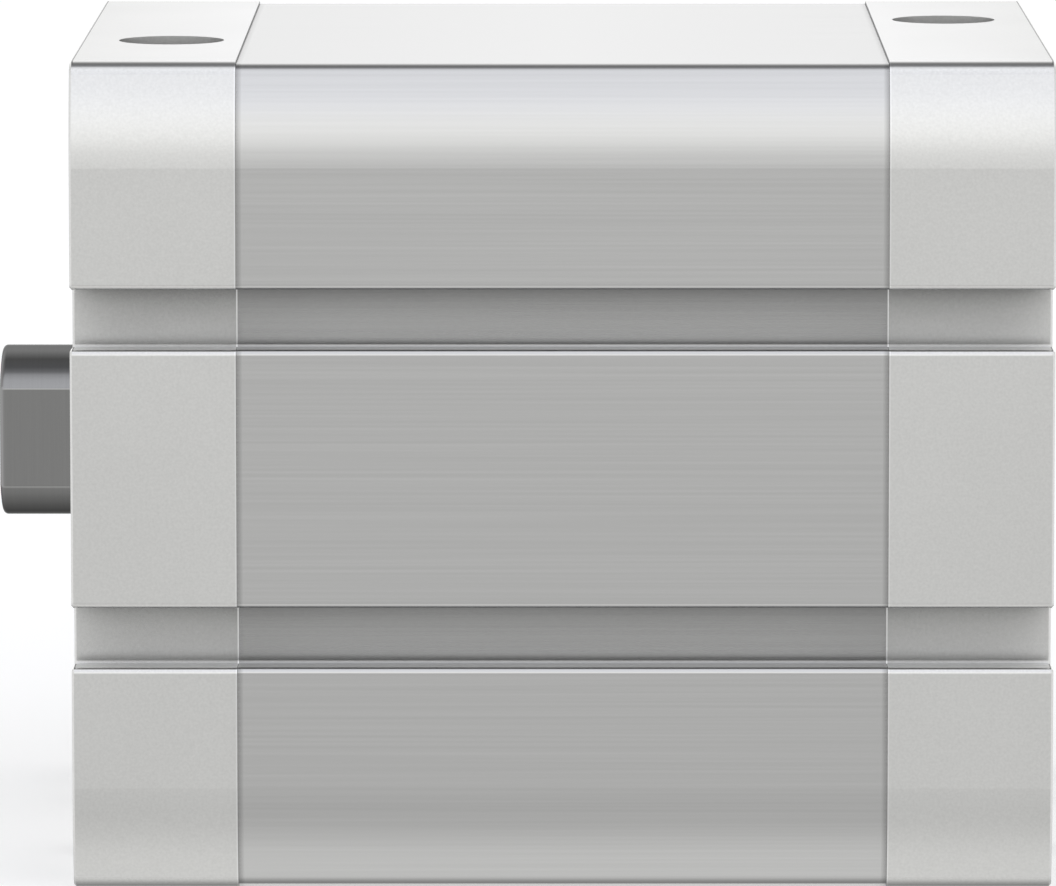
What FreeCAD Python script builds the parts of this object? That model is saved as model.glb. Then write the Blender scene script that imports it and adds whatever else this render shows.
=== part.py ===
# Compact pneumatic cylinder: double acting, round rod with a female thread, magnetic piston.
# X runs along the cylinder axis, from the rod end towards the end cap. Z is up, on the port side.
# The origin lies on the axis, in the plane of the bearing cap's mounting face.
# The piston is drawn fully retracted, at the end cap.
import FreeCAD, Part
import math
import os

# Driving dimensions of the body, in millimetres
bore_diameter = 63.0
stroke = 40.0
side_wall = 6.25  # from the bore to the flat sides of the caps
cap_length = 15.0
barrel_step = 0.25  # how far the barrel stands back from the caps all round
side_arc_radius = 25.0  # the sides curve in above and below the screws
crease_radius = 1.7  # between a side's curve and the flat top or bottom of a cap
cap_edge_chamfer = 0.2  # around the mounting face only: the joint's edge is sharp
cap_hole_chamfer = 0.3
bore_lead_in = 0.5

# Sensor slots, two on each side and two underneath
slot_pitch = 29.0
slot_mouth_width = 5.45
slot_mouth_rounding = 0.5
slot_undercut_width = 6.7
slot_undercut_depth = 2.4
slot_floor_rounding = 0.6
slot_depth = 5.2

# Cap spigots, with the ring that seals each cap in the bore
spigot_length = 2.9
spigot_gap = 0.1
cap_ring_section = 1.6
cap_ring_lip = 0.45  # spigot left on the inner side of the ring's groove

# Collar screws, which hold the caps and carry the mounting threads
screw_edge_distance = 9.5
screw_head_diameter = 14.0
screw_head_length = 7.5
screw_head_recess = 0.5
screw_hex = 10.0
screw_hex_depth = 5.0
screw_shank_diameter = 12.0
screw_engagement = 13.0
screw_edge_chamfer = 0.6
screw_socket_chamfer = 0.4
mounting_thread_diameter = 8.0
mounting_thread_depth = 16.5
screw_hole_gap = 0.2
screw_thread_gap = 0.05

# Air ports, one on top of each cap, set off to opposite sides
port_thread_diameter = 9.73
port_thread_depth = 9.0
port_setback = 6.7  # from the joint between cap and barrel
port_offset = 12.0
passage_diameter = 5.0  # drilled down from the port
cross_passage_diameter = 4.0  # drilled in from the spigot until it meets the passage
passage_run_out = 0.5  # passage below the cross passage
passage_wall = 1.1  # between the cross passage and the cushion ring

# Piston rod
rod_diameter = 16.0
rod_reach = 8.2  # beyond the bearing cap when retracted
rod_flats_across = 13.0
rod_flats_length = 8.0
rod_edge_rounding = 0.5  # around the rod's end and along the flats
rod_thread_diameter = 10.0
rod_thread_depth = 20.0
rod_thread_countersink = 0.6
drill_point_angle = 118.0

# Rod bearing and rod seal in the bearing cap
bush_wall = 1.0
bush_length = 10.0
rod_seal_wall = 4.0
rod_seal_length = 4.2
rod_seal_recess = 0.5
rod_seal_lip_length = 0.8
rod_seal_relief = 0.9
rod_running_gap = 0.05
seat_gap = 0.03

# Elastic cushion rings, let into the caps
cushion_collar = 3.9  # cap wall between the bush bore and the cushion ring
cushion_width = 8.5
cushion_thickness = 2.0
cushion_proud = 0.5
cushion_gap = 0.1

# Piston, made of two halves clamped to the rod
piston_length = 12.0
piston_clearance = 0.4
piston_end_land = 1.0
piston_seal_groove_width = 2.4
piston_seal_groove_depth = 3.6
piston_inner_land = 0.8
piston_seal_notch = 1.3
piston_seal_lip = 0.9
piston_seal_heel_drop = 0.4
bore_running_gap = 0.1
groove_gap = 0.1
guide_ring_thickness = 2.2
guide_ring_slit = 1.5
magnet_thickness = 3.6
magnet_to_guide_gap = 0.3
rod_seat_depth = 2.0
piston_ring_section = 1.1
piston_ring_width = 2.0

# Screw that clamps the piston to the rod
piston_screw_diameter = 10.0
piston_screw_head_diameter = 16.0
piston_screw_head_length = 4.8
piston_screw_head_recess = 0.4
piston_screw_hex = 8.0
piston_screw_hex_depth = 3.0
piston_screw_engagement = 14.0
piston_screw_run_out = 1.0
piston_screw_pocket_gap = 0.5

# Sizes that follow from the driving dimensions
bore_radius = bore_diameter / 2
body_half_width = bore_radius + side_wall
screw_offset = body_half_width - screw_edge_distance
spigot_end = cap_length + spigot_length
cushion_face = spigot_end + cushion_proud
barrel_length = stroke + piston_length + 2 * (spigot_length + cushion_proud + cushion_gap)
body_length = barrel_length + 2 * cap_length
piston_start = cushion_face + cushion_gap + stroke
rod_radius = rod_diameter / 2
rod_end = -rod_reach
bush_bore_radius = rod_radius + rod_running_gap + bush_wall
bush_start = rod_seal_recess + rod_seal_length
cushion_inner_radius = bush_bore_radius + cushion_collar
cushion_outer_radius = cushion_inner_radius + cushion_width
slot_floor = body_half_width - slot_depth

axis = FreeCAD.Vector(1, 0, 0)
up = FreeCAD.Vector(0, 0, 1)
origin = FreeCAD.Vector(0, 0, 0)
cut_margin = 1.0  # how far a cutter runs past the face it opens


def along_x(radius, start, end, y=0.0, z=0.0):
    """A round bar parallel to the axis."""
    return Part.makeCylinder(radius, end - start, FreeCAD.Vector(start, y, z), axis)


def tube(outer_radius, inner_radius, start, end):
    """A plain ring around the axis."""
    return along_x(outer_radius, start, end).cut(along_x(inner_radius, start, end))


def turned(profile):
    """A closed outline of (x, radius) points, turned about the axis."""
    corners = [FreeCAD.Vector(x, 0, radius) for x, radius in profile]
    outline = Part.makePolygon(corners + corners[:1])
    return Part.Face(outline).revolve(origin, axis, 360)


def hexagon_bar(across_flats, start, end, y=0.0, z=0.0):
    """A hexagon bar parallel to the axis, as a wrench socket's cutter."""
    corner_radius = across_flats / math.sqrt(3)
    corners = []
    for step in range(7):
        angle = math.radians(60 * step)
        corners.append(
            FreeCAD.Vector(start, y + corner_radius * math.cos(angle), z + corner_radius * math.sin(angle))
        )
    return Part.Face(Part.makePolygon(corners)).extrude(axis * (end - start))


def to_rear(shape):
    """The same piece at the end cap: half a turn about the upright line through the body's middle."""
    return shape.rotated(FreeCAD.Vector(body_length / 2, 0, 0), up, 180)


def line(start, end):
    """A straight edge of a cross-section, between (y, z) points."""
    return Part.LineSegment(FreeCAD.Vector(0, *start), FreeCAD.Vector(0, *end)).toShape()


def arc(centre, radius, start_angle, end_angle):
    """A round edge of a cross-section about a (y, z) centre, between two angles."""
    points = []
    for angle in (start_angle, (start_angle + end_angle) / 2, end_angle):
        y = centre[0] + radius * math.cos(angle)
        z = centre[1] + radius * math.sin(angle)
        points.append(FreeCAD.Vector(0, y, z))
    return Part.Arc(*points).toShape()


def mirrored_section(edges, mirror_normals):
    """A face from one part of a cross-section and its mirror images."""
    for normal in mirror_normals:
        edges = edges + [edge.mirror(origin, normal) for edge in edges]
    return Part.Face(Part.Wire(Part.__sortEdges__(edges)))


def body_section(inset):
    """Cross-section of caps and barrel: flat top and bottom, sides that curve in at the corners."""
    side = body_half_width - inset
    arc_radius = side_arc_radius - inset
    rounding = crease_radius - inset
    arc_centre = (body_half_width - side_arc_radius, screw_offset)
    rounding_z = side - rounding
    rounding_rise = rounding_z - arc_centre[1]
    rounding_y = arc_centre[0] + math.sqrt((arc_radius - rounding) ** 2 - rounding_rise**2)
    meeting_angle = math.atan2(rounding_rise, rounding_y - arc_centre[0])
    quarter = [
        line((side, 0), (side, screw_offset)),
        arc(arc_centre, arc_radius, 0, meeting_angle),
        arc((rounding_y, rounding_z), rounding, meeting_angle, math.pi / 2),
        line((rounding_y, side), (0, side)),
    ]
    return mirrored_section(quarter, [FreeCAD.Vector(0, 1, 0), FreeCAD.Vector(0, 0, 1)])


def slot_section(face):
    """Cross-section of a T-shaped sensor slot that opens upwards through a face at this height."""
    half_mouth = slot_mouth_width / 2
    half_undercut = slot_undercut_width / 2
    ledge = slot_floor + slot_undercut_depth
    corner_y = half_undercut - slot_floor_rounding
    corner_z = slot_floor + slot_floor_rounding
    lip_z = face - slot_mouth_rounding
    lip_y = half_mouth + slot_mouth_rounding
    half = [
        line((0, slot_floor), (corner_y, slot_floor)),
        arc((corner_y, corner_z), slot_floor_rounding, -math.pi / 2, 0),
        line((half_undercut, corner_z), (half_undercut, ledge)),
        line((half_undercut, ledge), (half_mouth, ledge)),
        line((half_mouth, ledge), (half_mouth, lip_z)),
        arc((lip_y, lip_z), slot_mouth_rounding, math.pi, math.pi / 2),
        line((lip_y, face), (lip_y, face + cut_margin)),
        line((lip_y, face + cut_margin), (0, face + cut_margin)),
    ]
    return mirrored_section(half, [FreeCAD.Vector(0, 1, 0)])


def slotted_bar(inset, length):
    """A length of the body's profile with its six slots: near side, far side and underneath."""
    slot = slot_section(body_half_width - inset)
    slots = []
    for turn in (90, 180, 270):
        for offset in (-slot_pitch / 2, slot_pitch / 2):
            placed = slot.translated(FreeCAD.Vector(0, offset, 0))
            slots.append(placed.rotated(origin, axis, turn))
    return body_section(inset).cut(slots).Faces[0].extrude(axis * length)


def screw_places():
    """The four corners of the mounting pattern, as (y, z)."""
    return [(y, z) for y in (-screw_offset, screw_offset) for z in (-screw_offset, screw_offset)]


def cylinder_barrel():
    """Extruded barrel: honed bore, four screw channels and six sensor slots."""
    start = cap_length
    end = body_length - cap_length
    barrel = slotted_bar(barrel_step, barrel_length)
    barrel.translate(axis * start)
    lead_in = [(0, bore_radius), (0, bore_radius + bore_lead_in), (bore_lead_in, bore_radius)]
    cutters = [along_x(bore_radius, start - cut_margin, end + cut_margin)]
    cutters.append(turned([(start + x, radius) for x, radius in lead_in]))
    cutters.append(turned([(end - x, radius) for x, radius in lead_in]))
    channel_radius = screw_shank_diameter / 2 + screw_thread_gap
    for y, z in screw_places():
        cutters.append(along_x(channel_radius, start - cut_margin, end + cut_margin, y, z))
    return barrel.cut(cutters)


def port_cutters():
    """The port thread on top of a cap and the drilled way from it into the cylinder chamber."""
    x = cap_length - port_setback
    y = -port_offset
    passage_radius = passage_diameter / 2
    cross_radius = cross_passage_diameter / 2
    cross_distance = cushion_outer_radius + passage_wall + cross_radius
    cross_z = math.sqrt(cross_distance**2 - port_offset**2)
    passage_floor = cross_z - cross_radius - passage_run_out
    port_radius = port_thread_diameter / 2
    port_floor = body_half_width - port_thread_depth
    return [
        Part.makeCylinder(port_radius, port_thread_depth + cut_margin, FreeCAD.Vector(x, y, port_floor)),
        Part.makeCylinder(passage_radius, port_floor - passage_floor, FreeCAD.Vector(x, y, passage_floor)),
        along_x(cross_radius, x, spigot_end + cut_margin, y, cross_z),
    ]


def cap_ring_groove():
    """Start, end and floor radius of the groove for the cap's sealing ring."""
    end = spigot_end - cap_ring_lip
    return end - cap_ring_section - 2 * groove_gap, end, bore_radius - cap_ring_section


def hole_mouth(radius, y=0.0, z=0.0):
    """The chamfer around a hole in the cap's outer face."""
    place = FreeCAD.Vector(0, y, z)
    return Part.makeCone(radius + cap_hole_chamfer, radius, cap_hole_chamfer, place, axis)


def cap_blank():
    """What both caps share, drawn at the rod end."""
    bar = slotted_bar(0, cap_length)
    face_edges = [edge for edge in bar.Edges if edge.BoundBox.XMax < cap_edge_chamfer]
    cap = bar.makeChamfer(cap_edge_chamfer, face_edges)
    cap = cap.fuse(along_x(bore_radius - spigot_gap, cap_length, spigot_end))
    groove_start, groove_end, groove_floor = cap_ring_groove()
    cutters = [tube(bore_radius + cut_margin, groove_floor, groove_start, groove_end)]
    cutters.append(
        tube(cushion_outer_radius + seat_gap, cushion_inner_radius - seat_gap,
             cushion_face - cushion_thickness, spigot_end + cut_margin)
    )
    head_seat = screw_head_recess + screw_head_length
    head_hole = screw_head_diameter / 2 + screw_hole_gap
    for y, z in screw_places():
        cutters.append(hole_mouth(head_hole, y, z))
        cutters.append(along_x(head_hole, -cut_margin, head_seat, y, z))
        cutters.append(along_x(screw_shank_diameter / 2 + screw_hole_gap, 0, cap_length + cut_margin, y, z))
    return cap.cut(cutters + port_cutters())


def bearing_cap():
    """The cap that the rod passes through."""
    seal_hole = rod_radius + rod_seal_wall + seat_gap
    return cap_blank().cut([
        hole_mouth(seal_hole),
        along_x(seal_hole, -cut_margin, bush_start),
        along_x(bush_bore_radius + seat_gap, 0, spigot_end + cut_margin),
    ])


def collar_screw():
    """A collar screw with a hexagon socket at its mouth and a mounting thread behind the socket."""
    face = screw_head_recess
    head_seat = face + screw_head_length
    head_radius = screw_head_diameter / 2
    shank_radius = screw_shank_diameter / 2
    tip = cap_length + screw_engagement
    screw = turned([
        (face, 0),
        (face, head_radius - screw_edge_chamfer),
        (face + screw_edge_chamfer, head_radius),
        (head_seat, head_radius),
        (head_seat, shank_radius),
        (tip - screw_edge_chamfer, shank_radius),
        (tip, shank_radius - screw_edge_chamfer),
        (tip, 0),
    ])
    socket_floor = face + screw_hex_depth
    socket_mouth = screw_hex / math.sqrt(3)
    return screw.cut([
        Part.makeCone(socket_mouth, socket_mouth - screw_socket_chamfer, screw_socket_chamfer, axis * face, axis),
        hexagon_bar(screw_hex, face - cut_margin, socket_floor),
        along_x(mounting_thread_diameter / 2, socket_floor, socket_floor + mounting_thread_depth),
    ])


def collar_screws():
    """The four collar screws of the bearing cap."""
    screw = collar_screw()
    return Part.makeCompound([screw.translated(FreeCAD.Vector(0, y, z)) for y, z in screw_places()])


def cap_ring():
    """The ring that seals the bearing cap in the bore."""
    groove_start, groove_end, groove_floor = cap_ring_groove()
    return tube(bore_radius - seat_gap, groove_floor + seat_gap, groove_start + groove_gap, groove_end - groove_gap)


def cushion_ring():
    """The elastic ring that the piston meets at the end of its stroke."""
    return tube(cushion_outer_radius, cushion_inner_radius, cushion_face - cushion_thickness, cushion_face)


def rod_bush():
    """Plain bearing bush of the rod."""
    return tube(bush_bore_radius, rod_radius + rod_running_gap, bush_start, bush_start + bush_length)


def rod_seal():
    """Rod seal and wiper in one: a wiping lip in front, a sealing lip behind, a relief between them."""
    start = rod_seal_recess
    end = bush_start
    outer = rod_radius + rod_seal_wall
    lip = rod_radius + rod_running_gap
    relief = lip + rod_seal_relief
    return turned([
        (start, outer),
        (start + rod_seal_relief, relief + rod_seal_relief),
        (start, lip),
        (start + rod_seal_lip_length, lip),
        (start + rod_seal_lip_length + rod_seal_relief, relief),
        (end - rod_seal_lip_length - rod_seal_relief, relief),
        (end - rod_seal_lip_length, lip),
        (end, lip),
        (end, outer),
    ])


def piston_rod():
    """Piston rod with wrench flats, a female thread in front and the piston screw's thread behind."""
    end = piston_start + rod_seat_depth
    thread_radius = rod_thread_diameter / 2
    flat_depth = rod_radius - rod_flats_across / 2
    flat = Part.makeBox(
        rod_flats_length, flat_depth, rod_diameter, FreeCAD.Vector(rod_end, rod_flats_across / 2, -rod_radius)
    )
    rod = along_x(rod_radius, rod_end, end).cut([flat, flat.mirror(origin, FreeCAD.Vector(0, 1, 0))])
    front_edges = [edge for edge in rod.Edges if edge.BoundBox.XMin < rod_end + cut_margin]
    rounded_edges = [edge for edge in front_edges if edge.BoundBox.XMax < end - cut_margin]
    rod = rod.makeFillet(rod_edge_rounding, rounded_edges)
    thread_floor = rod_end + rod_thread_depth
    drill_point = thread_radius / math.tan(math.radians(drill_point_angle / 2))
    thread_hole = turned([
        (rod_end, 0),
        (rod_end, thread_radius + rod_thread_countersink),
        (rod_end + rod_thread_countersink, thread_radius),
        (thread_floor, thread_radius),
        (thread_floor + drill_point, 0),
    ])
    screw_floor = end - piston_screw_engagement - piston_screw_run_out
    screw_hole = along_x(piston_screw_diameter / 2 + screw_thread_gap, screw_floor, end + cut_margin)
    return rod.cut([thread_hole, screw_hole])


def piston_levels():
    """Places along the piston, measured from its front face."""
    seal_start = piston_end_land
    seal_end = seal_start + piston_seal_groove_width
    guide_start = seal_end + piston_inner_land
    return seal_start, seal_end, guide_start


def piston_outer_radius():
    """Radius of the piston's lands."""
    return bore_radius - piston_clearance


def magnet_floor_radius():
    """Radius of the pocket that holds the magnet under the guide ring."""
    guide_inner = bore_radius - bore_running_gap - guide_ring_thickness
    return guide_inner - magnet_to_guide_gap - magnet_thickness


def grooved_rim():
    """Outer outline of a piston half, from its end face to the split: seal groove, then magnet pocket."""
    seal_start, seal_end, guide_start = piston_levels()
    rim = piston_outer_radius()
    seal_floor = bore_radius - piston_seal_groove_depth
    return [
        (0, rim),
        (seal_start, rim),
        (seal_start, seal_floor),
        (seal_end, seal_floor),
        (seal_end, rim),
        (guide_start, rim),
        (guide_start, magnet_floor_radius() - seat_gap),
        (piston_length / 2, magnet_floor_radius() - seat_gap),
    ]


def piston_front_half():
    """Front half of the piston: seat for the rod and a recess for the static ring."""
    hole = piston_screw_diameter / 2 + screw_hole_gap
    ring_floor = rod_seat_depth + piston_ring_section
    inside = [
        (piston_length / 2, hole),
        (ring_floor, hole),
        (ring_floor, hole + piston_ring_width),
        (rod_seat_depth, hole + piston_ring_width),
        (rod_seat_depth, rod_radius + seat_gap),
        (0, rod_radius + seat_gap),
    ]
    return turned([(piston_start + x, radius) for x, radius in grooved_rim() + inside])


def piston_rear_half():
    """Rear half of the piston, with the pocket for the clamping screw's head."""
    hole = piston_screw_diameter / 2 + screw_hole_gap
    pocket = piston_screw_head_diameter / 2 + piston_screw_pocket_gap
    pocket_depth = piston_screw_head_length + piston_screw_head_recess
    inside = [
        (piston_length / 2, hole),
        (pocket_depth, hole),
        (pocket_depth, pocket),
        (0, pocket),
    ]
    piston_end = piston_start + piston_length
    return turned([(piston_end - x, radius) for x, radius in grooved_rim() + inside])


def piston_lip_seal():
    """Front lip seal: a heel on the inner side and two lips open towards the pressure."""
    seal_start, seal_end, _ = piston_levels()
    lip = seal_start + groove_gap
    heel = seal_end - groove_gap
    inner = bore_radius - piston_seal_groove_depth + groove_gap
    outer = bore_radius - bore_running_gap
    profile = [
        (heel, inner),
        (heel, outer - piston_seal_heel_drop),
        (lip, outer),
        (lip, outer - piston_seal_lip),
        (lip + piston_seal_notch, (inner + outer) / 2),
        (lip, inner + piston_seal_lip),
        (lip, inner),
    ]
    return turned([(piston_start + x, radius) for x, radius in profile])


def piston_rear_seal():
    """The same lip seal in the rear half, open towards the end cap."""
    middle = FreeCAD.Vector(piston_start + piston_length / 2, 0, 0)
    return piston_lip_seal().rotated(middle, up, 180)


def guide_width():
    """Width of the pocket that the two halves leave for magnet and guide ring."""
    return piston_length - 2 * piston_levels()[2]


def guide_ring():
    """Split guide ring that carries the piston in the bore."""
    start = piston_start + piston_levels()[2] + groove_gap
    end = start + guide_width() - 2 * groove_gap
    outer = bore_radius - bore_running_gap
    ring = tube(outer, outer - guide_ring_thickness, start, end)
    slit = Part.makeBox(
        end - start, guide_ring_slit, bore_diameter, FreeCAD.Vector(start, -guide_ring_slit / 2, 0)
    )
    return ring.cut(slit)


def magnet_ring():
    """Magnet that the sensors in the slots respond to."""
    start = piston_start + piston_levels()[2] + seat_gap
    end = start + guide_width() - 2 * seat_gap
    inner = magnet_floor_radius()
    return tube(inner + magnet_thickness, inner, start, end)


def piston_ring():
    """Static ring between the rod's end and the piston."""
    start = piston_start + rod_seat_depth + seat_gap
    inner = piston_screw_diameter / 2 + screw_hole_gap
    outer = inner + piston_ring_width - seat_gap
    return tube(outer, inner, start, start + piston_ring_section - 2 * seat_gap)


def piston_screw():
    """Socket screw that clamps both piston halves against the rod."""
    head_end = piston_start + piston_length - piston_screw_head_recess
    head_seat = head_end - piston_screw_head_length
    tip = piston_start + rod_seat_depth - piston_screw_engagement
    screw = along_x(piston_screw_head_diameter / 2, head_seat, head_end)
    screw = screw.fuse(along_x(piston_screw_diameter / 2, tip, head_seat))
    return screw.cut(hexagon_bar(piston_screw_hex, head_end - piston_screw_hex_depth, head_end + cut_margin))


pieces = {
    "cylinder_barrel": cylinder_barrel(),
    "bearing_cap": bearing_cap(),
    "end_cap": to_rear(cap_blank()),
    "bearing_cap_screws": collar_screws(),
    "end_cap_screws": to_rear(collar_screws()),
    "rod_bush": rod_bush(),
    "rod_seal": rod_seal(),
    "bearing_cap_ring": cap_ring(),
    "end_cap_ring": to_rear(cap_ring()),
    "front_cushion_ring": cushion_ring(),
    "rear_cushion_ring": to_rear(cushion_ring()),
    "piston_rod": piston_rod(),
    "piston_front_half": piston_front_half(),
    "piston_rear_half": piston_rear_half(),
    "piston_front_seal": piston_lip_seal(),
    "piston_rear_seal": piston_rear_seal(),
    "guide_ring": guide_ring(),
    "magnet_ring": magnet_ring(),
    "piston_ring": piston_ring(),
    "piston_screw": piston_screw(),
}

os.makedirs("parts", exist_ok=True)
for name, shape in pieces.items():
    shape.exportStep(f"parts/{name}.step")
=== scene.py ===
import math
import bmesh
import bpy
from mathutils import Matrix, Vector


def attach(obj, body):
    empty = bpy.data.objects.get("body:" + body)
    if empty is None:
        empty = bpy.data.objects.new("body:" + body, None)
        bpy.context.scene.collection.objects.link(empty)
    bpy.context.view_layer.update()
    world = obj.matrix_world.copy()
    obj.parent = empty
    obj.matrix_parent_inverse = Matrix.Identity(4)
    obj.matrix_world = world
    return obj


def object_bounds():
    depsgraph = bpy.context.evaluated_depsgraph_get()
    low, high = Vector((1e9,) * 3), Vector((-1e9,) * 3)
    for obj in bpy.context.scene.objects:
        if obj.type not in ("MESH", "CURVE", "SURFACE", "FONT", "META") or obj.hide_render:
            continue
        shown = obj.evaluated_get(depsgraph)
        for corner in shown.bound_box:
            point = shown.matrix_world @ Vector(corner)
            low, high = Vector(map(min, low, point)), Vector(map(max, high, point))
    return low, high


# Compact pneumatic cylinder, dressed around its CAD frame. X runs along the axis, the rod points to -X,
# Z is up, on the port side. Sizes are in millimetres where they are named so, and in metres in Blender.
MM = 0.001
BODY_MIDDLE_MM = 44.5  # from the mounting face on the rod side
CAP_LENGTH_MM = 15.0
BARREL_HALF_MM = BODY_MIDDLE_MM - CAP_LENGTH_MM

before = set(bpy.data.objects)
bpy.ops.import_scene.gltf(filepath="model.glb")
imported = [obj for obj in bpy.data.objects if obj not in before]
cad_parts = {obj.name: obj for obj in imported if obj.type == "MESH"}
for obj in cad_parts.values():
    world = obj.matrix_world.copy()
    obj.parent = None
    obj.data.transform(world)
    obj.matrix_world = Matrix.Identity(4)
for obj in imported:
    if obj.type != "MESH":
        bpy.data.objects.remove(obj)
cad_low, cad_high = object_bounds()


def colour(hex_code):
    """An sRGB hex value as linear red, green, blue and alpha."""
    channels = []
    for place in (1, 3, 5):
        value = int(hex_code[place:place + 2], 16) / 255
        channels.append(value / 12.92 if value <= 0.04045 else ((value + 0.055) / 1.055) ** 2.4)
    return (*channels, 1.0)


def cells(size_mm):
    """Texture scale that makes one cell of a pattern this large."""
    return 1 / (size_mm * MM)


def waves(spacing_mm):
    """Scale of a Wave texture that puts its lines this far apart."""
    return math.pi / 10 / (spacing_mm * MM)


def add(tree, kind, settings=None, links=None):
    """Add a node, with settings by property or input name, and links from outputs to its inputs.

    Inputs of maths and Mix nodes go by number. In a Mix node 0 is the factor, 2 and 3 are the two values and
    6 and 7 the two colours.
    """
    node = tree.nodes.new(kind)
    for name, value in (settings or {}).items():
        if isinstance(name, int) or name in node.inputs:
            node.inputs[name].default_value = value
        else:
            setattr(node, name, value)
    for name, output in (links or {}).items():
        tree.links.new(output, node.inputs[name])
    return node


def new_material(name):
    """An empty node material and its node tree."""
    material = bpy.data.materials.new(name)
    material.use_nodes = True
    material.node_tree.nodes.clear()
    return material, material.node_tree


def surface(tree, settings, links):
    """Close a material with its Principled shader."""
    shader = add(tree, "ShaderNodeBsdfPrincipled", settings, links)
    add(tree, "ShaderNodeOutputMaterial", None, {"Surface": shader.outputs["BSDF"]})


def sky_reach(tree):
    """How freely light from above reaches a place: about 1 on the outside, a third under a slot's lip."""
    tilt = 0.6  # towards the sky, from straight off the surface
    span_mm = 9.0
    facing = add(tree, "ShaderNodeNewGeometry").outputs["Normal"]
    upward = add(tree, "ShaderNodeVectorMath", {"operation": "ADD", 1: (0.0, 0.0, tilt)}, {0: facing})
    aim = add(tree, "ShaderNodeVectorMath", {"operation": "NORMALIZE"}, {0: upward.outputs[0]})
    return add(
        tree,
        "ShaderNodeAmbientOcclusion",
        {"samples": 10, "Distance": span_mm * MM},
        {"Normal": aim.outputs[0]},
    ).outputs["AO"]


def facing_up(tree):
    """How far a place faces upwards: 1 on a flat top, 0 on an upright side."""
    facing = add(tree, "ShaderNodeNewGeometry").outputs["Normal"]
    return add(tree, "ShaderNodeSeparateXYZ", None, {"Vector": facing}).outputs["Z"]


def rounded_edges(tree):
    """1 on the small roundings between faces, 0 on flat faces and on the wide curve of the sides."""
    curve_end = 0.4  # how far these four face up or down
    edge_start = 0.5
    edge_end = 0.99
    flat_start = 0.999
    slope = add(tree, "ShaderNodeMath", {"operation": "ABSOLUTE"}, {0: facing_up(tree)}).outputs[0]
    off_side = add(
        tree, "ShaderNodeMapRange", {"From Min": curve_end, "From Max": edge_start}, {"Value": slope}
    )
    off_top = add(
        tree, "ShaderNodeMapRange", {"From Min": flat_start, "From Max": edge_end}, {"Value": slope}
    )
    both = add(
        tree,
        "ShaderNodeMath",
        {"operation": "MULTIPLY"},
        {0: off_side.outputs["Result"], 1: off_top.outputs["Result"]},
    )
    return both.outputs[0]


def slot_shade(tree, reach):
    """Painted shade inside a slot: dark under the upper lip, even further down the floor, none on the lips.
    """
    under_lip = 0.27  # how freely light reaches these four places
    open_floor = 0.42
    inner_lip = 0.58
    outer_lip = 0.72
    darkest = 0.3
    floor_level = 0.68
    floor = add(
        tree,
        "ShaderNodeMapRange",
        {"From Min": under_lip, "From Max": open_floor, "To Min": darkest, "To Max": floor_level},
        {"Value": reach},
    )
    mouth = add(
        tree,
        "ShaderNodeMapRange",
        {"From Min": inner_lip, "From Max": outer_lip, "To Max": 1.0 - floor_level},
        {"Value": reach},
    )
    upright = add(
        tree, "ShaderNodeMath", {"operation": "ADD"}, {0: floor.outputs["Result"], 1: mouth.outputs["Result"]}
    )
    level = add(tree, "ShaderNodeMath", {"operation": "ABSOLUTE"}, {0: facing_up(tree)})
    return add(
        tree, "ShaderNodeMath", {"operation": "MAXIMUM"}, {0: upright.outputs[0], 1: level.outputs[0]}
    ).outputs[0]


# Bands along the axis in which painted light, painted shade or a dark line sets in, between two distances
# from the joints of barrel and caps.
# The distances are counted into the caps, so they are below zero on the barrel.
CAP_TOP_LIGHT_MM = (CAP_LENGTH_MM, 0.0)
CAP_EDGE_HIGHLIGHT_MM = (0.13, 0.11)
CAP_JOINT_SHADE_MM = (0.003, 0.001)
CAP_OUTER_LINE_MM = (CAP_LENGTH_MM - 0.33, CAP_LENGTH_MM - 0.3)
BARREL_TOP_SHADE_MM = (-BARREL_HALF_MM, 0.0)
BARREL_SHADOW_MM = (-0.58, -0.14)
BARREL_JOINT_SHADE_MM = (-0.08, -0.05)


def along_axis(tree, band_mm):
    """A mask that rises from 0 to 1 across a band, on both sides of the body's middle."""
    first_mm, last_mm = (BARREL_HALF_MM + distance_mm for distance_mm in band_mm)
    place = add(tree, "ShaderNodeTexCoord").outputs["Object"]
    along = add(tree, "ShaderNodeSeparateXYZ", None, {"Vector": place}).outputs["X"]
    offset = add(tree, "ShaderNodeMath", {"operation": "SUBTRACT", 1: BODY_MIDDLE_MM * MM}, {0: along})
    distance = add(tree, "ShaderNodeMath", {"operation": "ABSOLUTE"}, {0: offset.outputs[0]})
    return add(
        tree,
        "ShaderNodeMapRange",
        {"From Min": first_mm * MM, "From Max": last_mm * MM},
        {"Value": distance.outputs[0]},
    ).outputs["Result"]


def on_top(tree, mask):
    """A mask that is kept on the flat top only."""
    leaning = 0.8
    level = 0.98
    flat = add(
        tree, "ShaderNodeMapRange", {"From Min": leaning, "From Max": level}, {"Value": facing_up(tree)}
    )
    return add(
        tree, "ShaderNodeMath", {"operation": "MULTIPLY"}, {0: mask, 1: flat.outputs["Result"]}
    ).outputs[0]


def dulled(tree, roughness, reach):
    """A roughness that grows inside the slots, where no tool or blasting bead reaches."""
    slot_reach = 0.5
    open_reach = 0.68
    added = 0.12
    dull = add(
        tree,
        "ShaderNodeMapRange",
        {"From Min": slot_reach, "From Max": open_reach, "To Min": added, "To Max": 0.0},
        {"Value": reach},
    )
    return add(
        tree, "ShaderNodeMath", {"operation": "ADD"}, {0: roughness, 1: dull.outputs["Result"]}
    ).outputs[0]


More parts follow.
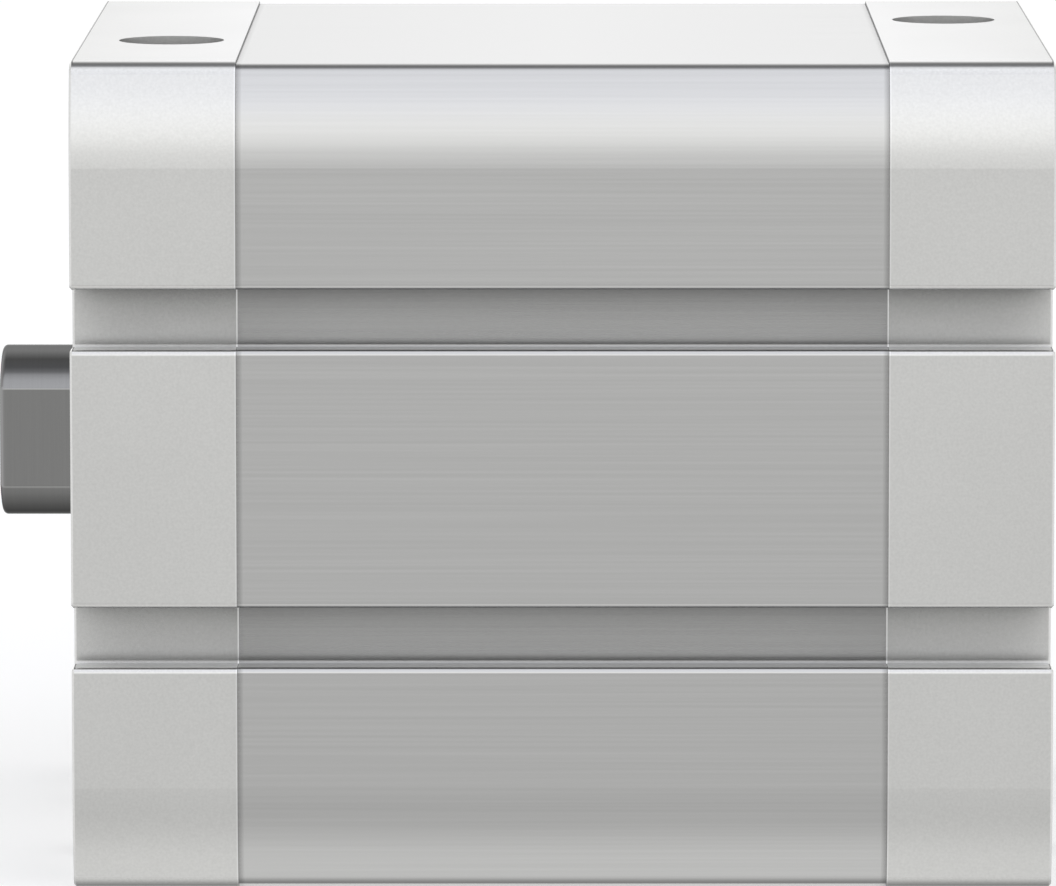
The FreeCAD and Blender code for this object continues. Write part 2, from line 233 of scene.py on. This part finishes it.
def cap_colour(tree, grit, painted_edge_highlight):
    """Colour of the caps by their grit, with painted light on top, a painted highlight on the edge at the
    joint, painted shade on the face in the joint and a thin dark line on top by the outer edge.
    """
    tone = add(
        tree,
        "ShaderNodeMix",
        {"data_type": "RGBA", 6: colour("#D3D3D2"), 7: colour("#E5E5E4")},
        {0: grit},
    )
    # painted light: the cap's top grows paler towards the barrel
    top = add(
        tree,
        "ShaderNodeMix",
        {"data_type": "RGBA", 7: colour("#EAEAEA")},
        {0: on_top(tree, along_axis(tree, CAP_TOP_LIGHT_MM)), 6: tone.outputs[2]},
    )
    # painted highlight: a thin pale band on the cap's edge at the joint
    highlighted = add(
        tree, "ShaderNodeMix", {"data_type": "RGBA", 7: colour("#ECECEC")}, {0: painted_edge_highlight, 6: top.outputs[2]}
    )
    # painted shade: the cap's face in the joint is made dark
    painted_joint_shade = add(
        tree,
        "ShaderNodeMix",
        {"data_type": "RGBA", 7: colour("#4A4A4A")},
        {0: along_axis(tree, CAP_JOINT_SHADE_MM), 6: highlighted.outputs[2]},
    )
    outlined = add(
        tree,
        "ShaderNodeMix",
        {"data_type": "RGBA", 7: colour("#5C5C5C")},
        {0: on_top(tree, along_axis(tree, CAP_OUTER_LINE_MM)), 6: painted_joint_shade.outputs[2]},
    )
    return outlined.outputs[2]


def blasted_aluminium():
    """Caps: die-cast aluminium, bead blasted and clear anodised.

    A pale grey with a fine grit and soft reflections. A painted shade darkens it inside the slots and holes,
    where it is duller too, and a painted light makes it paler on top towards the barrel. The rounded edges
    are worn smoother and mirror more sharply. The face towards the barrel is painted dark as shade in the
    joint, and a thin painted highlight lies on its edge. On top, the edge towards the mounting face shows as
    a thin dark line.
    """
    material, tree = new_material("blasted_anodised_aluminium")
    place = add(tree, "ShaderNodeTexCoord").outputs["Object"]
    grit = add(tree, "ShaderNodeTexNoise", {"Scale": cells(0.26), "Detail": 2.0}, {"Vector": place})
    cloud = add(tree, "ShaderNodeTexNoise", {"Scale": cells(14.0), "Detail": 2.0}, {"Vector": place})
    painted_edge_highlight = along_axis(tree, CAP_EDGE_HIGHLIGHT_MM)
    reach = sky_reach(tree)
    # painted shade in the slots and holes, with the painted highlight on the joint's edge kept bright there
    lit = add(
        tree, "ShaderNodeMath", {"operation": "MAXIMUM"}, {0: slot_shade(tree, reach), 1: painted_edge_highlight}
    )
    shaded = add(
        tree,
        "ShaderNodeMix",
        {"data_type": "RGBA", "blend_type": "MULTIPLY", 0: 1.0},
        {6: cap_colour(tree, grit.outputs["Fac"], painted_edge_highlight), 7: lit.outputs[0]},
    )
    gloss = add(
        tree, "ShaderNodeMapRange", {"To Min": 0.27, "To Max": 0.33}, {"Value": cloud.outputs["Fac"]}
    )
    worn = add(
        tree, "ShaderNodeMix", {3: 0.12}, {0: rounded_edges(tree), 2: gloss.outputs["Result"]}
    )
    bump = add(
        tree, "ShaderNodeBump", {"Strength": 0.4, "Distance": 0.006 * MM}, {"Height": grit.outputs["Fac"]}
    )
    surface(
        tree,
        {"Metallic": 1.0},
        {
            "Base Color": shaded.outputs[2],
            "Roughness": dulled(tree, worn.outputs[0], reach),
            "Normal": bump.outputs["Normal"],
        },
    )
    return material


def barrel_colour(tree, lines, reach):
    """Colour of the barrel by its draw lines, with painted shade on top, a painted shadow of the caps and
    a painted line of shade at the joints.
    """
    slot_reach = 0.5
    open_reach = 0.75
    tone = add(
        tree,
        "ShaderNodeMix",
        {"data_type": "RGBA", 6: colour("#C7C7C7"), 7: colour("#D1D1D1")},
        {0: lines},
    )
    # painted shade: the barrel's top darkens away from its middle
    top = add(
        tree,
        "ShaderNodeMix",
        {"data_type": "RGBA", 7: colour("#C4C4C4")},
        {0: on_top(tree, along_axis(tree, BARREL_TOP_SHADE_MM)), 6: tone.outputs[2]},
    )
    outside = add(
        tree, "ShaderNodeMapRange", {"From Min": slot_reach, "From Max": open_reach}, {"Value": reach}
    )
    # painted shadow of the caps on the barrel, left out inside the slots
    beside_cap = add(
        tree,
        "ShaderNodeMath",
        {"operation": "MULTIPLY"},
        {0: along_axis(tree, BARREL_SHADOW_MM), 1: outside.outputs["Result"]},
    )
    shadow = add(
        tree,
        "ShaderNodeMix",
        {"data_type": "RGBA", 7: colour("#AAAAAA")},
        {0: beside_cap.outputs[0], 6: top.outputs[2]},
    )
    # painted shade: a thin dark line on top at the joints
    lined = add(
        tree,
        "ShaderNodeMix",
        {"data_type": "RGBA", 7: colour("#3C3C3C")},
        {0: on_top(tree, along_axis(tree, BARREL_JOINT_SHADE_MM)), 6: shadow.outputs[2]},
    )
    return lined.outputs[2]


def drawn_aluminium():
    """Barrel: extruded aluminium, clear anodised.

    A darker grey than the caps with sharper reflections and fine draw lines along it. A painted shadow lies
    beside the caps that stand proud of it, most of all on top, where a thin painted line of shade marks the
    joint. A painted shade leaves the top palest in the middle.
    """
    material, tree = new_material("extruded_anodised_aluminium")
    place = add(tree, "ShaderNodeTexCoord").outputs["Object"]
    along = add(
        tree, "ShaderNodeMapping", {"Scale": (cells(60.0), cells(0.24), cells(0.24))}, {"Vector": place}
    )
    lines = add(
        tree, "ShaderNodeTexNoise", {"Scale": 1.0, "Detail": 3.0}, {"Vector": along.outputs["Vector"]}
    )
    reach = sky_reach(tree)
    # painted shade in the slots and holes multiplies the barrel's colour
    shaded = add(
        tree,
        "ShaderNodeMix",
        {"data_type": "RGBA", "blend_type": "MULTIPLY", 0: 1.0},
        {6: barrel_colour(tree, lines.outputs["Fac"], reach), 7: slot_shade(tree, reach)},
    )
    gloss = add(
        tree, "ShaderNodeMapRange", {"To Min": 0.19, "To Max": 0.25}, {"Value": lines.outputs["Fac"]}
    )
    bump = add(
        tree, "ShaderNodeBump", {"Strength": 0.15, "Distance": 0.004 * MM}, {"Height": lines.outputs["Fac"]}
    )
    surface(
        tree,
        {"Metallic": 1.0},
        {
            "Base Color": shaded.outputs[2],
            "Roughness": dulled(tree, gloss.outputs["Result"], reach),
            "Normal": bump.outputs["Normal"],
        },
    )
    return material


def ground_steel():
    """Piston rod: high-alloy steel, ground and rolled round.

    A dark grey with clear reflections, dull where they graze, and fine rings around the rod.
    """
    material, tree = new_material("ground_rod_steel")
    place = add(tree, "ShaderNodeTexCoord").outputs["Object"]
    around = add(
        tree, "ShaderNodeMapping", {"Scale": (cells(0.12), cells(9.0), cells(9.0))}, {"Vector": place}
    )
    rings = add(
        tree, "ShaderNodeTexNoise", {"Scale": 1.0, "Detail": 3.0}, {"Vector": around.outputs["Vector"]}
    )
    tone = add(
        tree,
        "ShaderNodeMix",
        {"data_type": "RGBA", 6: colour("#939393"), 7: colour("#9B9B9B")},
        {0: rings.outputs["Fac"]},
    )
    gloss = add(
        tree, "ShaderNodeMapRange", {"To Min": 0.06, "To Max": 0.1}, {"Value": rings.outputs["Fac"]}
    )
    surface(
        tree,
        {"Metallic": 1.0, "Specular Tint": colour("#A0A0A0")},
        {"Base Color": tone.outputs[2], "Roughness": gloss.outputs["Result"]},
    )
    return material


def turned_aluminium():
    """Piston halves: aluminium turned on a lathe.

    A light grey with the fine rings of the tool around the axis.
    """
    material, tree = new_material("turned_aluminium")
    place = add(tree, "ShaderNodeTexCoord").outputs["Object"]
    rings = add(
        tree,
        "ShaderNodeTexWave",
        {"wave_type": "RINGS", "rings_direction": "X", "Scale": waves(0.25), "Distortion": 0.4},
        {"Vector": place},
    )
    tone = add(
        tree,
        "ShaderNodeMix",
        {"data_type": "RGBA", 6: colour("#BDBEBF"), 7: colour("#CFD0D1")},
        {0: rings.outputs["Fac"]},
    )
    gloss = add(
        tree, "ShaderNodeMapRange", {"To Min": 0.26, "To Max": 0.38}, {"Value": rings.outputs["Fac"]}
    )
    surface(tree, {"Metallic": 1.0}, {"Base Color": tone.outputs[2], "Roughness": gloss.outputs["Result"]})
    return material


def zinc_plated_steel():
    """Screws: steel, cold formed and zinc plated.

    A cool grey with a cloudy sheen and a faint orange-peel surface.
    """
    material, tree = new_material("zinc_plated_steel")
    place = add(tree, "ShaderNodeTexCoord").outputs["Object"]
    sheen = add(tree, "ShaderNodeTexNoise", {"Scale": cells(2.5), "Detail": 3.0}, {"Vector": place})
    peel = add(tree, "ShaderNodeTexNoise", {"Scale": cells(0.35), "Detail": 1.0}, {"Vector": place})
    tone = add(
        tree,
        "ShaderNodeMix",
        {"data_type": "RGBA", 6: colour("#AEB2B5"), 7: colour("#C4C7C8")},
        {0: sheen.outputs["Fac"]},
    )
    gloss = add(
        tree, "ShaderNodeMapRange", {"To Min": 0.24, "To Max": 0.4}, {"Value": sheen.outputs["Fac"]}
    )
    bump = add(
        tree, "ShaderNodeBump", {"Strength": 0.3, "Distance": 0.01 * MM}, {"Height": peel.outputs["Fac"]}
    )
    surface(
        tree,
        {"Metallic": 1.0},
        {
            "Base Color": tone.outputs[2],
            "Roughness": gloss.outputs["Result"],
            "Normal": bump.outputs["Normal"],
        },
    )
    return material


def sintered_bronze():
    """Rod bush: bronze powder, pressed and sintered, soaked with oil.

    A brown metal with small dark pores between the grains.
    """
    material, tree = new_material("sintered_bronze")
    place = add(tree, "ShaderNodeTexCoord").outputs["Object"]
    grains = add(tree, "ShaderNodeTexVoronoi", {"Scale": cells(0.3)}, {"Vector": place})
    grain = add(
        tree, "ShaderNodeMapRange", {"From Min": 0.3, "From Max": 0.8}, {"Value": grains.outputs["Distance"]}
    )
    tone = add(
        tree,
        "ShaderNodeMix",
        {"data_type": "RGBA", 6: colour("#A98756"), 7: colour("#6B4F2E")},
        {0: grain.outputs["Result"]},
    )
    gloss = add(
        tree, "ShaderNodeMapRange", {"To Min": 0.35, "To Max": 0.6}, {"Value": grain.outputs["Result"]}
    )
    surface(tree, {"Metallic": 1.0}, {"Base Color": tone.outputs[2], "Roughness": gloss.outputs["Result"]})
    return material


def moulded_polyurethane():
    """Rod seal and piston seals: polyurethane, injection moulded.

    A dark grey, slightly glossy, with faint flow marks.
    """
    material, tree = new_material("moulded_polyurethane")
    place = add(tree, "ShaderNodeTexCoord").outputs["Object"]
    flow = add(
        tree, "ShaderNodeTexNoise", {"Scale": cells(3.0), "Detail": 2.0, "Distortion": 1.5}, {"Vector": place}
    )
    tone = add(
        tree,
        "ShaderNodeMix",
        {"data_type": "RGBA", 6: colour("#2C2F31"), 7: colour("#383B3D")},
        {0: flow.outputs["Fac"]},
    )
    gloss = add(
        tree, "ShaderNodeMapRange", {"To Min": 0.34, "To Max": 0.46}, {"Value": flow.outputs["Fac"]}
    )
    surface(tree, {"IOR": 1.5}, {"Base Color": tone.outputs[2], "Roughness": gloss.outputs["Result"]})
    return material


def nitrile_rubber():
    """Sealing rings: nitrile rubber, compression moulded.

    Black and dull, with a thin grey bloom in spots.
    """
    material, tree = new_material("nitrile_rubber")
    place = add(tree, "ShaderNodeTexCoord").outputs["Object"]
    bloom = add(tree, "ShaderNodeTexNoise", {"Scale": cells(0.4), "Detail": 3.0}, {"Vector": place})
    tone = add(
        tree,
        "ShaderNodeMix",
        {"data_type": "RGBA", 6: colour("#171717"), 7: colour("#252525")},
        {0: bloom.outputs["Fac"]},
    )
    gloss = add(
        tree, "ShaderNodeMapRange", {"To Min": 0.48, "To Max": 0.62}, {"Value": bloom.outputs["Fac"]}
    )
    surface(tree, {"IOR": 1.52}, {"Base Color": tone.outputs[2], "Roughness": gloss.outputs["Result"]})
    return material


def cushion_elastomer():
    """End cushions: thermoplastic elastomer, injection moulded.

    A sandy yellow, matt, with a slightly uneven tone.
    """
    material, tree = new_material("moulded_cushion_elastomer")
    place = add(tree, "ShaderNodeTexCoord").outputs["Object"]
    shade = add(tree, "ShaderNodeTexNoise", {"Scale": cells(1.5), "Detail": 4.0}, {"Vector": place})
    tone = add(
        tree,
        "ShaderNodeMix",
        {"data_type": "RGBA", 6: colour("#C7B68A"), 7: colour("#D5C69D")},
        {0: shade.outputs["Fac"]},
    )
    gloss = add(
        tree, "ShaderNodeMapRange", {"To Min": 0.45, "To Max": 0.58}, {"Value": shade.outputs["Fac"]}
    )
    surface(tree, {"IOR": 1.5}, {"Base Color": tone.outputs[2], "Roughness": gloss.outputs["Result"]})
    return material


def turned_acetal():
    """Guide ring: acetal, turned from bar.

    An off-white plastic with fine rings around the axis.
    """
    material, tree = new_material("turned_acetal")
    place = add(tree, "ShaderNodeTexCoord").outputs["Object"]
    rings = add(
        tree,
        "ShaderNodeTexWave",
        {"wave_type": "BANDS", "bands_direction": "X", "Scale": waves(0.2), "Distortion": 0.3},
        {"Vector": place},
    )
    tone = add(
        tree,
        "ShaderNodeMix",
        {"data_type": "RGBA", 6: colour("#DCDAD3"), 7: colour("#E8E6E0")},
        {0: rings.outputs["Fac"]},
    )
    gloss = add(
        tree, "ShaderNodeMapRange", {"To Min": 0.34, "To Max": 0.44}, {"Value": rings.outputs["Fac"]}
    )
    surface(tree, {"IOR": 1.48}, {"Base Color": tone.outputs[2], "Roughness": gloss.outputs["Result"]})
    return material


def bonded_ferrite():
    """Magnet ring: ferrite powder bonded in plastic.

    A dark grey with lighter specks of powder.
    """
    material, tree = new_material("bonded_ferrite")
    place = add(tree, "ShaderNodeTexCoord").outputs["Object"]
    powder = add(tree, "ShaderNodeTexVoronoi", {"Scale": cells(0.35)}, {"Vector": place})
    speck = add(
        tree, "ShaderNodeMapRange", {"From Min": 0.1, "From Max": 0.4}, {"Value": powder.outputs["Distance"]}
    )
    tone = add(
        tree,
        "ShaderNodeMix",
        {"data_type": "RGBA", 6: colour("#5A5754"), 7: colour("#353331")},
        {0: speck.outputs["Result"]},
    )
    gloss = add(
        tree, "ShaderNodeMapRange", {"To Min": 0.45, "To Max": 0.62}, {"Value": speck.outputs["Result"]}
    )
    surface(tree, {"IOR": 1.55}, {"Base Color": tone.outputs[2], "Roughness": gloss.outputs["Result"]})
    return material


finishes = {
    "cap_aluminium": blasted_aluminium(),
    "barrel_aluminium": drawn_aluminium(),
    "rod_steel": ground_steel(),
    "piston_aluminium": turned_aluminium(),
    "screw_steel": zinc_plated_steel(),
    "bush_bronze": sintered_bronze(),
    "polyurethane": moulded_polyurethane(),
    "nitrile": nitrile_rubber(),
    "cushion_elastomer": cushion_elastomer(),
    "guide_acetal": turned_acetal(),
    "magnet_ferrite": bonded_ferrite(),
}


def dress_frame():
    """Give each CAD node the finish of its material slot."""
    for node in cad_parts.values():
        for place in node.material_slots:
            place.material = finishes[place.material.name]


dress_frame()


# Threads cut into the plain holes of the frame: hole radius, pitch and the length that is threaded
MOUNTING_THREAD_MM = {"radius": 4.0, "pitch": 1.25, "length": 15.5}
ROD_THREAD_MM = {"radius": 5.0, "pitch": 1.5, "length": 17.5}
PORT_THREAD_MM = {"radius": 4.865, "pitch": 0.907, "length": 6.5}
MOUNTING_THREAD_START_MM = 6.0  # behind the hexagon socket of a collar screw
SCREW_OFFSET_MM = 28.25
ROD_THREAD_START_MM = -7.0
PORT_THREAD_START_MM = 29.5
PORT_PLACES_MM = ((8.3, -12.0), (80.7, 12.0))


def thread_ridge(radius, pitch, length):
    """A bmesh with the ridge of a right-hand female thread, along +X from the origin."""
    depth = 0.54 * pitch
    half_crest = 0.125 * pitch
    half_foot = 0.42 * pitch
    bite = 0.03  # of the foot into the wall of the hole
    steps_per_turn = 28
    turns = length / pitch
    outline = [
        (-half_foot, radius + bite),
        (-half_crest, radius - depth),
        (half_crest, radius - depth),
        (half_foot, radius + bite),
    ]
    shape = bmesh.new()
    corners = [shape.verts.new((x * MM, 0.0, height * MM)) for x, height in outline]
    edges = [shape.edges.new((corners[place - 1], corners[place])) for place in range(len(corners))]
    swept = bmesh.ops.spin(
        shape,
        geom=corners + edges,
        cent=(0.0, 0.0, 0.0),
        axis=(1.0, 0.0, 0.0),
        dvec=(pitch * MM / steps_per_turn, 0.0, 0.0),
        angle=2 * math.pi * turns,
        steps=round(turns * steps_per_turn),
    )
    last = [item for item in swept["geom_last"] if isinstance(item, bmesh.types.BMVert)]
    for end in (corners, last):
        bmesh.ops.contextual_create(shape, geom=end)
    return shape


def repeat_at(shape, places_mm):
    """Move what a bmesh holds to the first place, and copy it to the others."""
    drawn = shape.verts[:] + shape.edges[:] + shape.faces[:]
    bmesh.ops.translate(shape, verts=shape.verts, vec=Vector(places_mm[0]) * MM)
    for place in places_mm[1:]:
        copied = bmesh.ops.duplicate(shape, geom=drawn)["geom"]
        corners = [item for item in copied if isinstance(item, bmesh.types.BMVert)]
        step = Vector(place) - Vector(places_mm[0])
        bmesh.ops.translate(shape, verts=corners, vec=step * MM)


def finish_piece(name, shape, body, slot):
    """Make a bmesh an object with its finish, riding on its body."""
    bmesh.ops.recalc_face_normals(shape, faces=shape.faces)
    mesh = bpy.data.meshes.new(name)
    shape.to_mesh(mesh)
    shape.free()
    piece = bpy.data.objects.new(name, mesh)
    bpy.context.collection.objects.link(piece)
    mesh.materials.append(finishes[slot])
    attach(piece, body)


def collar_screw_threads(name, at_rear):
    """The mounting threads in the four collar screws of one cap."""
    shape = thread_ridge(**MOUNTING_THREAD_MM)
    offsets = (-SCREW_OFFSET_MM, SCREW_OFFSET_MM)
    repeat_at(shape, [(MOUNTING_THREAD_START_MM, y, z) for y in offsets for z in offsets])
    if at_rear:
        middle = Vector((BODY_MIDDLE_MM, 0.0, 0.0)) * MM
        bmesh.ops.rotate(shape, verts=shape.verts, cent=middle, matrix=Matrix.Rotation(math.pi, 3, "Z"))
    finish_piece(name, shape, "housing", "screw_steel")


def rod_thread():
    """The thread in the rod's end."""
    shape = thread_ridge(**ROD_THREAD_MM)
    repeat_at(shape, [(ROD_THREAD_START_MM, 0.0, 0.0)])
    finish_piece("rod_thread", shape, "piston_and_rod", "rod_steel")


def port_threads():
    """The threads in the two air ports."""
    shape = thread_ridge(**PORT_THREAD_MM)
    upright = Matrix.Rotation(-math.pi / 2, 3, "Y")
    bmesh.ops.rotate(shape, verts=shape.verts, cent=(0.0, 0.0, 0.0), matrix=upright)
    repeat_at(shape, [(x, y, PORT_THREAD_START_MM) for x, y in PORT_PLACES_MM])
    finish_piece("port_threads", shape, "housing", "cap_aluminium")


collar_screw_threads("bearing_cap_screw_threads", False)
collar_screw_threads("end_cap_screw_threads", True)
rod_thread()
port_threads()


# Light of the studio as metal sees it, by the angle up from the front horizon, over the top and down behind
STUDIO_LIGHT = {
    -180: 1.13,
    -160: 0.6,
    -140: 0.32,
    -120: 0.32,
    -100: 0.42,
    -80: 0.6,
    -60: 0.8,
    -46: 0.85,
    -36: 0.83,
    -28: 0.66,
    -20: 0.56,
    -13: 0.62,
    -7: 0.62,
    -2: 0.72,
    3: 1.08,
    8: 1.29,
    14: 1.36,
    22: 1.28,
    32: 1.1,
    44: 1.1,
    56: 1.14,
    68: 1.18,
    78: 1.04,
    86: 0.8,
    91: 0.42,
    100: 0.24,
    118: 0.22,
    130: 0.46,
    142: 0.8,
    155: 1.12,
    168: 1.17,
    180: 1.13,
}
LAMP_LOW = 20
LAMP_HIGH = 100
COOL_LIGHT = (0.98, 0.992, 1.035)  # of the lamp overhead in front
WARM_LIGHT = (1.0, 1.0, 0.985)  # of the walls and the floor in front
WHITE_LIGHT = (1.0, 1.0, 1.0)  # of the roof and the wall behind
BRIGHTEST = max(STUDIO_LIGHT.values())


def studio_world():
    """A white studio: a soft light overhead in front, a darker roof behind it, white walls."""
    world = bpy.data.worlds.new("studio")
    world.use_nodes = True
    tree = world.node_tree
    tree.nodes.clear()
    direction = add(tree, "ShaderNodeTexCoord").outputs["Generated"]
    parts = add(tree, "ShaderNodeSeparateXYZ", None, {"Vector": direction}).outputs
    forward = add(tree, "ShaderNodeMath", {"operation": "MULTIPLY", 1: -1.0}, {0: parts["Y"]})
    angle = add(tree, "ShaderNodeMath", {"operation": "ARCTAN2"}, {0: parts["Z"], 1: forward.outputs[0]})
    share = add(
        tree, "ShaderNodeMapRange", {"From Min": -math.pi, "From Max": math.pi}, {"Value": angle.outputs[0]}
    )
    sky = add(tree, "ShaderNodeValToRGB", None, {"Fac": share.outputs["Result"]})
    stops = sky.color_ramp.elements
    stops.remove(stops[1])
    for count, (degrees, light) in enumerate(STUDIO_LIGHT.items()):
        stop = stops[0] if count == 0 else stops.new(degrees / 360 + 0.5)
        stop.position = degrees / 360 + 0.5
        tint = WHITE_LIGHT if degrees > LAMP_HIGH else COOL_LIGHT if degrees > LAMP_LOW else WARM_LIGHT
        stop.color = (*(light / BRIGHTEST * channel for channel in tint), 1.0)
    sideways = add(tree, "ShaderNodeMath", {"operation": "MULTIPLY"}, {0: parts["X"], 1: parts["X"]})
    room = add(
        tree,
        "ShaderNodeMix",
        {"data_type": "RGBA", 7: (1 / BRIGHTEST, 1 / BRIGHTEST, 1 / BRIGHTEST, 1.0)},
        {0: sideways.outputs[0], 6: sky.outputs["Color"]},
    )
    lit = add(tree, "ShaderNodeBackground", {"Strength": BRIGHTEST}, {"Color": room.outputs[2]})
    white = add(tree, "ShaderNodeBackground", {"Color": (1.0, 1.0, 1.0, 1.0)})
    seen = add(tree, "ShaderNodeLightPath").outputs["Is Camera Ray"]
    mixed = add(
        tree,
        "ShaderNodeMixShader",
        None,
        {0: seen, 1: lit.outputs["Background"], 2: white.outputs["Background"]},
    )
    add(tree, "ShaderNodeOutputWorld", None, {"Surface": mixed.outputs["Shader"]})
    bpy.context.scene.world = world


def studio_floor():
    """A wide white floor under the cylinder: it keeps the shadow and reads as white paper."""
    floor_half_mm = 4000.0
    glow = 0.35
    shape = bmesh.new()
    bmesh.ops.create_grid(shape, x_segments=1, y_segments=1, size=floor_half_mm * MM)
    bmesh.ops.translate(shape, verts=shape.verts, vec=(cad_low + cad_high) / 2)
    for vertex in shape.verts:
        vertex.co.z = cad_low.z
    mesh = bpy.data.meshes.new("studio_floor")
    shape.to_mesh(mesh)
    shape.free()
    floor = bpy.data.objects.new("studio_floor", mesh)
    bpy.context.collection.objects.link(floor)
    material, tree = new_material("white_paper")
    seen = add(tree, "ShaderNodeLightPath").outputs["Is Camera Ray"]
    strength = add(tree, "ShaderNodeMath", {"operation": "MULTIPLY", 1: glow}, {0: seen})
    surface(
        tree,
        {
            "Base Color": colour("#E8E8E8"),
            "Roughness": 1.0,
            "Specular IOR Level": 0.0,
            "Emission Color": (1.0, 1.0, 1.0, 1.0),
        },
        {"Emission Strength": strength.outputs[0]},
    )
    mesh.materials.append(material)
    floor.visible_glossy = False
    floor.visible_shadow = False


def photo_camera():
    """The photograph's view: from the near side, a little from above, with a long lens."""
    elevation = math.radians(6.987)
    distance_mm = 905.9
    target = Vector((BODY_MIDDLE_MM, 0.0, 0.0)) * MM
    data = bpy.data.cameras.new("photo_camera")
    data.lens = 327.46
    data.sensor_width = 36.0
    data.shift_x = -0.0327
    data.shift_y = -0.0132
    data.clip_start = 0.01
    data.clip_end = 100.0
    camera = bpy.data.objects.new("photo_camera", data)
    bpy.context.collection.objects.link(camera)
    camera.location = target + Vector((0.0, -math.cos(elevation), math.sin(elevation))) * distance_mm * MM
    camera.rotation_euler = (math.pi / 2 - elevation, 0.0, 0.0)
    bpy.context.scene.camera = camera


studio_world()
studio_floor()
photo_camera()
bpy.context.scene.view_settings.view_transform = "Standard"
